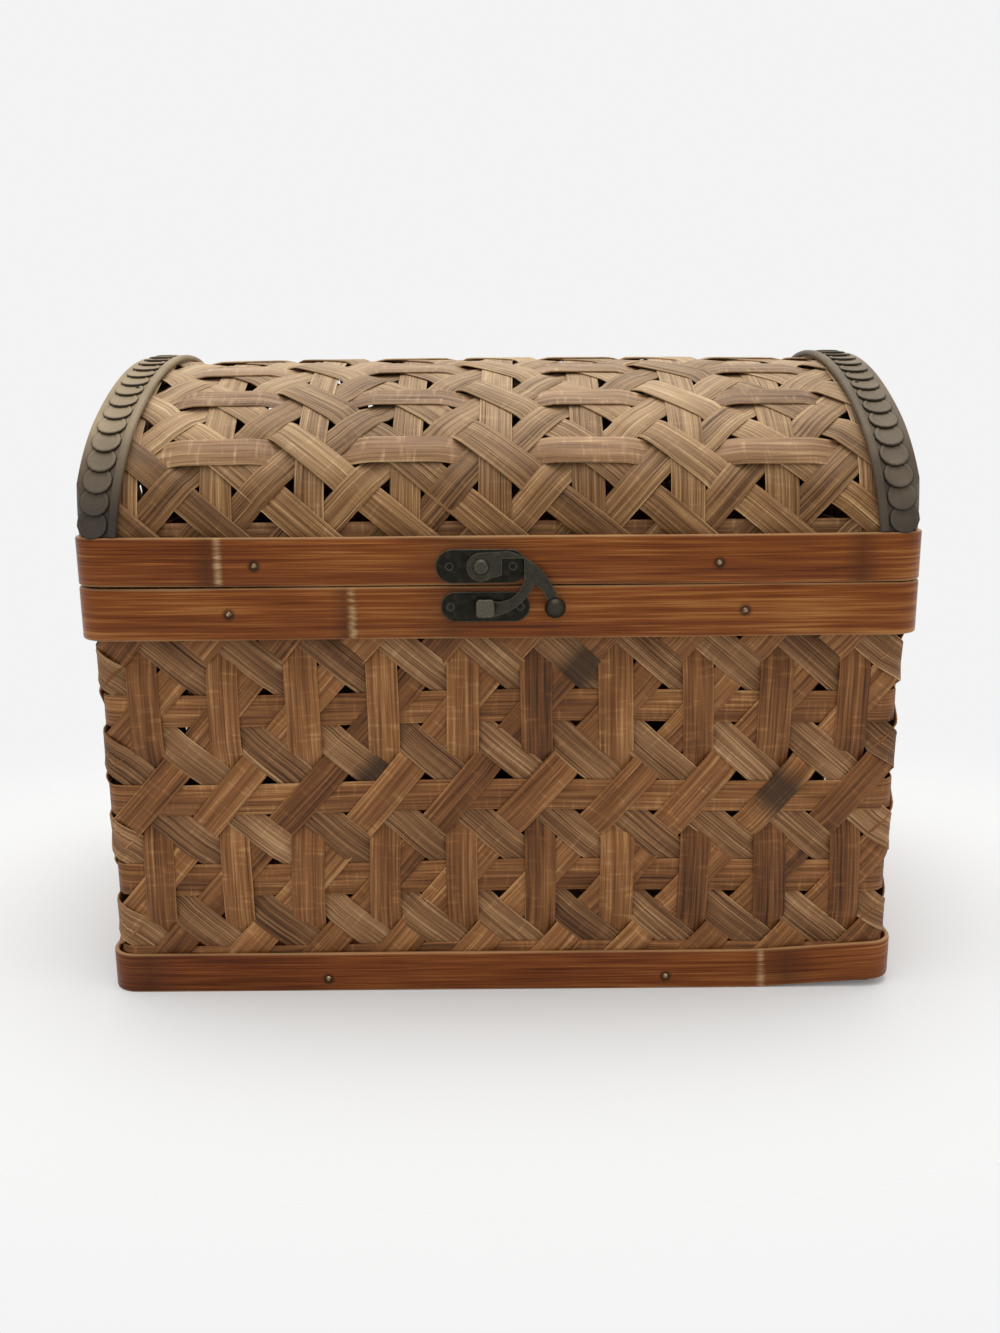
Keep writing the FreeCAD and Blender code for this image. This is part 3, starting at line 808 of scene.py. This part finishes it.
# body wall: the mat goes once round the box
wallLow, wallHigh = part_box("body_woven_wall")
wallSet = {
    "corner": 7.0 * mm,
    "thickness": 2.6 * mm,
    "middleRow": 68.0 * mm,
    "footGap": 3.0 * mm,       # the strips end this far up behind the base band
    "backFamilies": ("upright", "rising", "falling"),
    # place along and up, radius, and the strips that are stained
    "stains": [(27 * mm, 42 * mm, 9 * mm, "falling"), (92 * mm, 0.0, 11 * mm, "rising"),
               (-42 * mm, 7 * mm, 7 * mm, "falling")],
}


def makeWall(w):
    outer = ringLength(wallHigh.x, wallHigh.y, w["corner"])
    inner = [size - w["thickness"] for size in (wallHigh.x, wallHigh.y, w["corner"])]
    share = ringLength(*inner) / outer
    s = {**matSet, "column": outer / (2 * round(outer / matSet["column"] / 2)),
         "backFamilies": w["backFamilies"]}

    def isBack(u):
        return abs(u) > outer / 2 - wallHigh.x

    def place(u, v, h):
        at, outward = ringPoint(u * share, *inner)
        return at + outward * h + Vector((0, 0, v + w["middleRow"])), outward

    def hold(point):
        return Vector((point.x, point.y, min(max(point.z, wallLow.z + w["footGap"]), wallHigh.z)))

    heights = (wallLow.z - w["middleRow"], wallHigh.z - w["middleRow"])
    strips = weave(s, (-outer / 2, outer / 2), heights, place, hold, w["stains"], True, isBack=isBack)
    return mat("bodyWeave", s, strips, "body", hold)


wall = makeWall(wallSet)
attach(wall, "body")
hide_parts("body_woven_wall")
print("body weave", len(wall.data.polygons))


# barrel lid: the same mat turned a quarter, bent over the arch
domeLow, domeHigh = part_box("lid_woven_dome")
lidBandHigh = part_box("lid_outer_band")[1]
lidSet = {
    "thickness": 2.6 * mm,
    "lean": 6.5 * mm,          # of each end, from foot to ridge
    "column": 25.0 * mm,
    "row": 29.1 * mm,
    "strips": {"skinWidth": 9.5 * mm, "splitWidth": 9.7 * mm, "risingKind": "split", "rowKind": "split"},
    "edge": 20 * mm,
    "shift": 9.5 * mm,
    "backFrom": 8 * mm,        # behind the ridge
    "backFamilies": ("upright",),
    "spring": lidBandHigh.z,
    "rise": domeHigh.z - lidBandHigh.z,
    "halfX": wallHigh.x,
    "halfY": wallHigh.y,
    "shoulder": 42.0 * mm,     # radius of the arch at its feet
    "crown": 1.2 * mm,
    "rail": {"up": 14.0 * mm, "inward": 0.15 * mm, "short": 6.0 * mm, "count": 120, "tone": 0.3,
             "seed": 60.0},
    "endGap": 0.1 * mm,        # between the barrel's strips and the end panels
    "endInset": 0.4 * mm,      # of the end panels' strips within the arch
    "seed": 7,
    "endSeed": 20,
}


def archShape(w):
    # crown radius of the three-centred arch, and where the crown meets the shoulders
    a, b, r = w["halfY"], w["rise"], w["shoulder"]
    crown = (a * a + b * b - 2 * a * r) / (2 * (b - r))
    return crown, math.atan2(crown - b, a - r)


def archPoint(w, run, grow):
    # point and outward direction at a distance from the ridge, towards the back, offset outwards by grow
    crown, turn = archShape(w)
    crownRun = (math.pi / 2 - turn) * crown
    far = abs(run)
    side = math.copysign(1, run)
    if far <= crownRun:
        angle, radius = math.pi / 2 - far / crown, crown
        centreY, centreZ = 0.0, w["spring"] + w["rise"] - crown
    else:
        angle, radius = turn - (far - crownRun) / w["shoulder"], w["shoulder"]
        centreY, centreZ = w["halfY"] - w["shoulder"], w["spring"]
    if angle < 0:
        outward = Vector((0, side, 0))
        return Vector((0, side * (w["halfY"] + grow), w["spring"] + angle * w["shoulder"])), outward
    outward = Vector((0, side * math.cos(angle), math.sin(angle)))
    return Vector((0, side * centreY, centreZ)) + outward * (radius + grow), outward


def archHalf(w, foot):
    # distance from the ridge down to a foot, which may lie below the spring
    crown, turn = archShape(w)
    return (math.pi / 2 - turn) * crown + turn * w["shoulder"] + w["spring"] - foot


def endX(z, inset):
    # how far out the leaning lid end stands at height z
    return lidSet["halfX"] - inset - lidSet["lean"] * max(0.0, (z - lidSet["spring"]) / lidSet["rise"])


def makeDome(w):
    own = {key: w[key] for key in ("column", "row", "edge", "backFamilies")}
    s = {**matSet, **w["strips"], **own}

    def isBack(u):
        return u < w["shift"] - w["backFrom"]

    def place(u, v, h):
        at, outward = archPoint(w, w["shift"] - u, -w["thickness"])
        lift = w["crown"] * (1 - (v / w["halfX"]) ** 2) * max(0.0, outward.z)
        return at + outward * (h + lift) + Vector((v, 0, 0)), outward

    def hold(point):
        z = max(point.z, domeLow.z)
        far = endX(z, w["thickness"] + w["endGap"])
        return Vector((min(max(point.x, -far), far), point.y, z))

    reach = archHalf(w, domeLow.z)
    across = (w["shift"] - reach, w["shift"] + reach)
    strips = weave(s, across, (-w["halfX"], w["halfX"]), place, hold, seed=w["seed"], isBack=isBack)
    # a plain strip behind the diagonals, along each foot
    rail = w["rail"]
    far = w["halfX"] - rail["short"]
    rows = [(2 * i / rail["count"] - 1) * far for i in range(rail["count"] + 1)]
    for sign in (-1, 1):
        laid = [place(w["shift"] - sign * (reach - rail["up"]), v, -rail["inward"]) for v in rows]
        strips["skin"].append(stripOf(laid, rows, tone=rail["tone"], seed=rail["seed"] + sign))
    return mat("lidWeave", s, strips, "lid", hold)


def makeEnd(side, w):
    s = {**matSet, **w["strips"], "column": w["row"], "row": w["column"]}
    slope = w["lean"] / w["rise"]

    def place(u, v, h):
        z = v + w["spring"]
        outward = Vector((side, 0, slope if z > w["spring"] else 0)).normalized()
        return Vector((side * endX(z, w["thickness"]), u * side, z)) + outward * h, outward

    def hold(point):
        crown, turn = archShape(w)
        y, z = abs(point.y), max(point.z, domeLow.z)
        centreY, centreZ, radius = 0.0, w["spring"] + w["rise"] - crown, crown
        if math.atan2(z - centreZ, y) < turn:
            centreY, centreZ, radius = w["halfY"] - w["shoulder"], min(z, w["spring"]), w["shoulder"]
        away = math.hypot(y - centreY, z - centreZ)
        if away > radius - w["endInset"]:
            share = (radius - w["endInset"]) / away
            y, z = centreY + (y - centreY) * share, centreZ + (z - centreZ) * share
        return Vector((point.x, math.copysign(y, point.y), z))

    heights = (domeLow.z - w["spring"], w["rise"])
    strips = weave(s, (-w["halfY"], w["halfY"]), heights, place, hold, seed=w["endSeed"] + side)
    return mat("lidEnd" + ("Left" if side < 0 else "Right"), s, strips, "lid", hold)


dome = makeDome(lidSet)
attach(dome, "lid")
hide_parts("lid_woven_dome")
for side, word in ((-1, "left"), (1, "right")):
    end = makeEnd(side, lidSet)
    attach(end, "lid")
    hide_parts("lid_woven_end_" + word)
print("lid weave", len(dome.data.polygons))


# bamboo bands, each a bent strip whose ends meet at the back
outerBand = {"thickness": 2.6 * mm, "corner": 10.0 * mm, "bow": 0.20 * mm}
baseBand = {"thickness": 1.5 * mm, "corner": 8.7 * mm, "bow": 0.15 * mm}
innerBand = {"thickness": 2.0 * mm, "corner": 4.2 * mm, "bow": 0.1 * mm}
# the base band is bent upwards at the right front corner
baseKink = {"from": 86.0 * mm, "over": 38.0 * mm, "until": 205.0 * mm, "back": 60.0 * mm, "lift": 2.4 * mm}
bandSet = {
    "lid_outer_band": {"look": "lidBand", "body": "lid", "seed": 3.0, **outerBand},
    "rim_outer_band": {"look": "rimBand", "body": "body", "seed": 11.0, **outerBand},
    "base_outer_band": {"look": "baseBand", "body": "body", "seed": 23.0, "kink": baseKink, **baseBand},
    "lid_inner_band": {"look": "innerBand", "body": "lid", "seed": 31.0, **innerBand},
    "rim_inner_band": {"look": "innerBand", "body": "body", "seed": 37.0, **innerBand},
    "base_inner_band": {"look": "innerBand", "body": "body", "seed": 43.0, **innerBand},
}
bandShape = {"count": 420, "gap": 0.4 * mm, "longWave": 13, "shortWave": 31,
             "edgeRound": 0.55 * mm, "steps": 3}


def kinkAt(u, k):
    risen = min(1.0, max(0.0, (u - k["from"]) / k["over"]))
    fallen = min(1.0, max(0.0, (k["until"] - u) / k["back"]))
    return k["lift"] * risen * fallen


def makeBand(node, b, w):
    low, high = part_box(node)
    half = b["thickness"] / 2
    middle = [size - half for size in (high.x, high.y, b["corner"])]
    total = ringLength(*middle)
    laid, along = [], []
    for i in range(w["count"] + 1):
        u = (i / w["count"] - 0.5) * (total - w["gap"])
        at, outward = ringPoint(u, *middle)
        lift = b["bow"] * math.sin(u * w["shortWave"] + b["seed"]) * math.sin(u * w["longWave"])
        if "kink" in b:
            lift += kinkAt(u, b["kink"])
        laid.append((at + Vector((0, 0, (low.z + high.z) / 2 + lift)), outward))
        along.append(u)
    strip = stripOf(laid, along, seed=b["seed"])
    piece = sweep(pieceName(node), [strip], high.z - low.z, b["thickness"], w["edgeRound"], w["steps"],
                  bandMaterials[b["look"]])
    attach(piece, b["body"])
    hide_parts(node)


for node, b in bandSet.items():
    makeBand(node, b, bandShape)
print("bands made")


# edge trims: round scales that overlap along the arch, beside a smooth bead
trimSet = {
    "stand": 1.7 * mm,        # of the trim's face above the weave
    "footGap": 0.4 * mm,
    "scaleInset": 4.6 * mm,
    "scaleRadius": 4.7 * mm,
    "scaleHeight": 0.65 * mm,
    "scaleFoot": 0.8,         # of the first scale's middle above the foot, in radii
    "tilt": 6.0,
    "pitch": 6.6 * mm,
    "sides": 14,
    # share of the radius, share of the height, and how far it is rubbed or, below 0, sunk and painted in
    # shade
    "rings": [(0.0, 0.66, 0.4), (0.42, 0.66, 0.4), (0.72, 0.62, 0.2), (0.87, 0.92, 0.7), (1.0, 0.55, -0.9),
              (1.0, -0.6, -0.9)],
    "beadInset": 10.8 * mm,
    "beadWidth": 2.8 * mm,
    "beadHeight": 2.0 * mm,
    "beadStep": 2.0 * mm,
    "beadRound": 0.9 * mm,
    "beadRoundSteps": 3,
}


def makeScale(s):
    # a low round shield with a raised rim
    sides = s["sides"]
    mesh = bpy.data.meshes.new("scale")
    shape = bmesh.new()
    layer = shape.verts.layers.float.new("raised")
    rows = []
    for share, height, raised in s["rings"]:
        row = []
        away = share * s["scaleRadius"]
        for i in range(1 if share == 0 else sides):
            turn = 2 * math.pi * i / sides
            vert = shape.verts.new((away * math.cos(turn), away * math.sin(turn), height * s["scaleHeight"]))
            vert[layer] = raised
            row.append(vert)
        rows.append(row)
    for i in range(sides):
        j = (i + 1) % sides
        shape.faces.new((rows[0][0], rows[1][i], rows[1][j]))
        for inner, outer in zip(rows[1:], rows[2:]):
            shape.faces.new((inner[i], outer[i], outer[j], inner[j]))
    shape.faces.new(list(reversed(rows[-1])))
    bmesh.ops.rotate(shape, verts=shape.verts, matrix=Matrix.Rotation(math.radians(s["tilt"]), 3, "Y"))
    shape.to_mesh(mesh)
    shape.free()
    return addObject("scale", mesh)


def makeScaleTree():
    inputs = [("Geometry", geometrySocket, None), ("Scale Piece", "NodeSocketObject", None),
              ("Material", "NodeSocketMaterial", None)]
    tree, source, result = newTree("scaleRow", "GeometryNodeTree", inputs, [("Geometry", geometrySocket)])
    piece = addNode(tree, "GeometryNodeObjectInfo", {"Object": source.outputs["Scale Piece"]})
    turn = addNode(tree, "FunctionNodeAxesToRotation", {
        "Primary Axis": stored(tree, "outward", "FLOAT_VECTOR"),
        "Secondary Axis": stored(tree, "ahead", "FLOAT_VECTOR")},
        primary_axis="Z", secondary_axis="X").outputs[0]
    placed = addNode(tree, "GeometryNodeInstanceOnPoints", {
        "Points": source.outputs["Geometry"], "Instance": piece.outputs["Geometry"],
        "Rotation": turn}).outputs[0]
    dress(tree, placed, source, result)
    return tree


scaleTree = makeScaleTree()


def archLine(side, inset, stand, spacing, foot):
    # points up and over one lid end, each with its outward direction
    half = archHalf(lidSet, foot)
    count = round(2 * half / spacing)
    rows = []
    for i in range(count + 1):
        at, outward = archPoint(lidSet, half * (2 * i / count - 1), stand)
        rows.append((Vector((side * endX(at.z, inset), at.y, at.z)), outward))
    return rows


def makeTrim(side, word, s):
    foot = lidSet["spring"] + s["footGap"]
    rows = archLine(side, s["scaleInset"], s["stand"], s["pitch"], foot + s["scaleRadius"] * s["scaleFoot"])
    points = [at for at, outward in rows]
    before = points[:1] + points[:-1]
    after = points[1:] + points[-1:]
    facts = {"outward": [outward for at, outward in rows],
             "ahead": [(b - a).normalized() for a, b in zip(before, after)]}
    guide = pointCloud("trimPoints", points, [], facts)
    scale = makeScale(s)
    modifier = guide.modifiers.new("scales", "NODES")
    modifier.node_group = scaleTree
    setInputs(modifier, {"Scale Piece": scale, "Material": trimLeather})
    scales = plainMesh(guide, "lidTrimScales" + word)
    bpy.data.objects.remove(scale)
    line = archLine(side, s["beadInset"], s["stand"], s["beadStep"], foot)
    strip = stripOf(line, [i * s["beadStep"] for i in range(len(line))])
    bead = sweep("lidTrimBead" + word, [strip], s["beadWidth"], s["beadHeight"], s["beadRound"],
                 s["beadRoundSteps"], trimLeather)
    for piece in (scales, bead):
        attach(piece, "lid")


makeTrim(-1, "Left", trimSet)
makeTrim(1, "Right", trimSet)
print("trims made")


# cast and stamped fittings: the solid's own shape with softened, rubbed edges
fittingSet = {
    # body that carries it, softening in mm, wear of its flat faces
    "latch_plate": ("lid", 0.30, 0.0),
    "latch_pivot_rivet": ("lid", 0.45, 0.40),
    "latch_hook": ("hook", 0.45, 0.22),
    "keeper_plate": ("body", 0.30, 0.0),
    "keeper_stud": ("body", 0.25, 0.70),
    "hinge_left_body_leaf": ("body", 0.15, 0.0),
    "hinge_right_body_leaf": ("body", 0.15, 0.0),
    "hinge_left_lid_leaf": ("lid", 0.15, 0.0),
    "hinge_right_lid_leaf": ("lid", 0.15, 0.0),
}
softSet = {
    "merge": 0.002 * mm,
    "flatAngle": 1.0,         # degrees
    "bevelAngle": 40,
    "sharpAngle": 35,
    "segments": 2,
    "flatArea": (2 * mm) ** 2,
    "wearGain": 1.4,
}


def softFitting(node, body, width, wear, s):
    mesh = nodes[node].data.copy()
    shape = bmesh.new()
    shape.from_mesh(mesh)
    bmesh.ops.remove_doubles(shape, verts=shape.verts, dist=s["merge"])
    flatTurn = math.radians(s["flatAngle"])
    bmesh.ops.dissolve_limit(shape, angle_limit=flatTurn, verts=shape.verts, edges=shape.edges)
    shape.to_mesh(mesh)
    shape.free()
    obj = addObject(node + "Soft", mesh)
    bevel = obj.modifiers.new("soften", "BEVEL")
    bevel.width = width * mm
    bevel.segments = s["segments"]
    bevel.limit_method = "ANGLE"
    bevel.angle_limit = math.radians(s["bevelAngle"])
    bevel.use_clamp_overlap = True
    piece = plainMesh(obj, pieceName(node))
    shape = bmesh.new()
    shape.from_mesh(piece.data)
    layer = shape.verts.layers.float.new("wear")
    for vert in shape.verts:
        turns = [edge.calc_face_angle_signed(0.0) for edge in vert.link_edges]
        flat = max(face.calc_area() for face in vert.link_faces) > s["flatArea"]
        rubbed = max(wear, max(turns, default=0.0) * s["wearGain"])
        vert[layer] = wear if flat else min(1.0, rubbed)
    for face in shape.faces:
        face.smooth = True
    shape.to_mesh(piece.data)
    shape.free()
    piece.data.set_sharp_from_angle(angle=math.radians(s["sharpAngle"]))
    setMaterial(piece.data, bronze)
    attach(piece, body)
    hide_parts(node)


for node, (body, width, wear) in fittingSet.items():
    softFitting(node, body, width, wear, softSet)

plainFinish = [
    (plainWood, ("base_panel", "lid_arch_bow_left", "lid_arch_bow_right")),
    (trimLeather, ("lid_edge_trim_left", "lid_edge_trim_right")),
    (nailBrass, ("lid_band_nails", "rim_band_nails", "base_band_nails")),
    (bronze, ("lid_trim_pins", "latch_plate_nails", "keeper_nails", "hinge_body_nails", "hinge_lid_nails",
              "hinge_left_pin", "hinge_right_pin")),
]
for material, kept in plainFinish:
    for node in kept:
        setMaterial(nodes[node].data, material)
print("fittings made")


# pale floor that fades into the backdrop, and soft light from above
stageSet = {
    "radius": 0.8,
    "segments": 64,
    "surface": (0.9, 0.1),
    "colour": (0.74, 0.74, 0.735, 1),
    "fade": (0.06, 0.27),
    "narrow": 0.62,           # the fade reaches further to the sides
}
lightSet = {
    "backdrop": (0.895, 0.900, 0.895, 1),
    "horizon": 0.32,          # world level at the horizon, and what is added overhead
    "overhead": 1.08,
    "frontDim": 0.24,
    "lampPlace": (0.0, 0.05, 1.4),
    "lampSize": 1.3,
    "lampPower": 11.0,
}


def makeStage(s):
    mesh = bpy.data.meshes.new("floor")
    shape = bmesh.new()
    bmesh.ops.create_circle(shape, cap_ends=True, radius=s["radius"], segments=s["segments"])
    shape.to_mesh(mesh)
    shape.free()
    made, tree, shader = newMaterial("paleFloor", *s["surface"])
    shader.inputs["Base Color"].default_value = s["colour"]
    squeezed = addNode(tree, "ShaderNodeVectorMath", {0: coordinates(tree), 1: (s["narrow"], 1, 1)},
                       operation="MULTIPLY").outputs[0]
    away = addNode(tree, "ShaderNodeVectorMath", {0: squeezed}, operation="LENGTH").outputs["Value"]
    solid = mapRange(tree, away, s["fade"], (1.0, 0.0), interpolation_type="SMOOTHSTEP")
    # it fades for the camera only, and still throws its light back
    hidden = calc(tree, "SUBTRACT", 1.0, addNode(tree, "ShaderNodeLightPath").outputs["Is Camera Ray"])
    tree.links.new(calc(tree, "MAXIMUM", solid, hidden), shader.inputs["Alpha"])
    mesh.materials.append(made)
    floor = addObject("floor", mesh)


def makeLight(s):
    data = bpy.data.lights.new("overhead", "AREA")
    data.shape = "DISK"
    data.size = s["lampSize"]
    data.energy = s["lampPower"]
    lamp = addObject("overhead", data)
    lamp.location = s["lampPlace"]
    world = bpy.data.worlds.new("studio")
    world.use_nodes = True
    tree = world.node_tree
    sky = tree.nodes["Background"]
    sky.inputs[0].default_value = (1, 1, 1, 1)
    way = splitVector(tree, coordinates(tree, "Generated"))
    height = calc(tree, "MAXIMUM", way[2], 0.0)
    level = weigh(tree, height, s["overhead"], s["horizon"])
    front = calc(tree, "MAXIMUM", calc(tree, "MULTIPLY", way[1], -1.0), 0.0)
    dimmed = weigh(tree, front, -s["frontDim"], 1.0)
    tree.links.new(calc(tree, "MULTIPLY", level, dimmed), sky.inputs[1])
    pale = addNode(tree, "ShaderNodeBackground", {0: s["backdrop"], 1: 1.0}).outputs[0]
    path = addNode(tree, "ShaderNodeLightPath").outputs
    seen = calc(tree, "MAXIMUM", path["Is Camera Ray"], path["Is Glossy Ray"])
    seen = calc(tree, "MAXIMUM", seen, path["Is Transmission Ray"])
    mixed = addNode(tree, "ShaderNodeMixShader", {0: seen, 1: sky.outputs[0], 2: pale}).outputs[0]
    tree.links.new(mixed, tree.nodes["World Output"].inputs[0])
    bpy.context.scene.world = world


makeStage(stageSet)
makeLight(lightSet)
bpy.context.scene.view_settings.view_transform = "Standard"
print("stage and light set")
